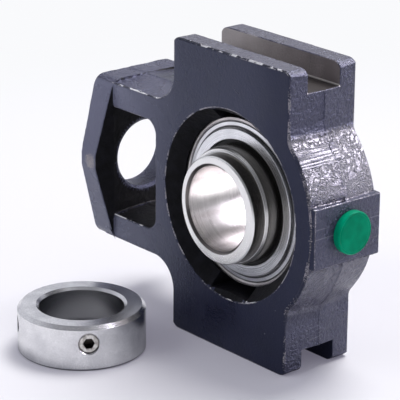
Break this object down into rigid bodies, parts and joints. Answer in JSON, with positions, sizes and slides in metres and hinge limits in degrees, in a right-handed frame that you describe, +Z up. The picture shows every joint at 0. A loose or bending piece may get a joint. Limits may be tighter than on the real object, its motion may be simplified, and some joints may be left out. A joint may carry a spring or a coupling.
{
  "type": "take up bearing unit",
  "caption": "Cast take-up housing with guide grooves and a windowed screw end, holding a self-aligning ball bearing insert; the eccentric locking collar stands beside it.",
  "frame": {"origin": "centre of the bearing, on the axis of the shaft bore and half way through the inner ring", "axes": "-Y along the shaft bore towards the locking side, -X along the adjusting screw, +X towards the grease boss, +Z up; the unit stands on its lower guide rails"},
  "size_m": [0.1004, 0.0799, 0.0898],
  "materials": {
    "painted_casting": "dark blue-grey paint, worn at the edges",
    "green_plastic": "smooth",
    "bearing_steel": "ground",
    "ground_steel": "ground and polished",
    "pressed_steel": "bright pressed sheet",
    "seal_rubber": "matte",
    "collar_steel": "satin, turned",
    "screw_steel": "oiled",
    "ball_steel": "polished"
  },
  "bodies": {
    "housing": {"housing": "painted_casting", "grease_plug": "green_plastic", "locking_collar": "collar_steel"},
    "insert": {"outer_ring": "bearing_steel", "front_shield": "pressed_steel", "rear_shield": "pressed_steel", "front_seal_lip": "seal_rubber", "rear_seal_lip": "seal_rubber"},
    "inner_ring": {"inner_ring": "ground_steel"},
    "cage": {"cage_front": "pressed_steel", "cage_rear": "pressed_steel", "cage_rivets": "pressed_steel"},
    "ball_1": {"ball_1": "ball_steel"},
    "ball_2": {"ball_2": "ball_steel"},
    "ball_3": {"ball_3": "ball_steel"},
    "ball_4": {"ball_4": "ball_steel"},
    "ball_5": {"ball_5": "ball_steel"},
    "ball_6": {"ball_6": "ball_steel"},
    "ball_7": {"ball_7": "ball_steel"},
    "ball_8": {"ball_8": "ball_steel"},
    "ball_9": {"ball_9": "ball_steel"},
    "set_screw": {"collar_set_screw": "screw_steel"}
  },
  "joints": [
    {"name": "seat_alignment", "type": "hinge", "parent": "housing", "child": "insert", "pos_m": [0, 0, 0], "axis": [0, 0, 1], "range_deg": [-5, 5]},
    {"name": "shaft_turn", "type": "hinge", "parent": "insert", "child": "inner_ring", "pos_m": [0, 0, 0], "axis": [0, 1, 0], "continuous": true},
    {"name": "cage_turn", "type": "hinge", "parent": "insert", "child": "cage", "pos_m": [0, 0, 0], "axis": [0, 1, 0], "continuous": true},
    {"name": "ball_1_spin", "type": "hinge", "parent": "cage", "child": "ball_1", "pos_m": [0, 0, 0.01925], "axis": [0, 1, 0], "continuous": true},
    {"name": "ball_2_spin", "type": "hinge", "parent": "cage", "child": "ball_2", "pos_m": [-0.01237, 0, 0.01475], "axis": [0, 1, 0], "continuous": true},
    {"name": "ball_3_spin", "type": "hinge", "parent": "cage", "child": "ball_3", "pos_m": [-0.01896, 0, 0.00334], "axis": [0, 1, 0], "continuous": true},
    {"name": "ball_4_spin", "type": "hinge", "parent": "cage", "child": "ball_4", "pos_m": [-0.01667, 0, -0.00962], "axis": [0, 1, 0], "continuous": true},
    {"name": "ball_5_spin", "type": "hinge", "parent": "cage", "child": "ball_5", "pos_m": [-0.00658, 0, -0.01809], "axis": [0, 1, 0], "continuous": true},
    {"name": "ball_6_spin", "type": "hinge", "parent": "cage", "child": "ball_6", "pos_m": [0.00658, 0, -0.01809], "axis": [0, 1, 0], "continuous": true},
    {"name": "ball_7_spin", "type": "hinge", "parent": "cage", "child": "ball_7", "pos_m": [0.01667, 0, -0.00962], "axis": [0, 1, 0], "continuous": true},
    {"name": "ball_8_spin", "type": "hinge", "parent": "cage", "child": "ball_8", "pos_m": [0.01896, 0, 0.00334], "axis": [0, 1, 0], "continuous": true},
    {"name": "ball_9_spin", "type": "hinge", "parent": "cage", "child": "ball_9", "pos_m": [0.01237, 0, 0.01475], "axis": [0, 1, 0], "continuous": true},
    {"name": "set_screw_travel", "type": "slide", "parent": "housing", "child": "set_screw", "axis": [0.8599, -0.5105, 0], "range_m": [-0.00055, 0.003]}
  ],
  "couplings": [
    {"joint": "cage_turn", "follows": "shaft_turn", "ratio": 0.39691},
    {"joint": "ball_1_spin", "follows": "shaft_turn", "ratio": -2.322},
    {"joint": "ball_2_spin", "follows": "shaft_turn", "ratio": -2.322},
    {"joint": "ball_3_spin", "follows": "shaft_turn", "ratio": -2.322},
    {"joint": "ball_4_spin", "follows": "shaft_turn", "ratio": -2.322},
    {"joint": "ball_5_spin", "follows": "shaft_turn", "ratio": -2.322},
    {"joint": "ball_6_spin", "follows": "shaft_turn", "ratio": -2.322},
    {"joint": "ball_7_spin", "follows": "shaft_turn", "ratio": -2.322},
    {"joint": "ball_8_spin", "follows": "shaft_turn", "ratio": -2.322},
    {"joint": "ball_9_spin", "follows": "shaft_turn", "ratio": -2.322}
  ]
}
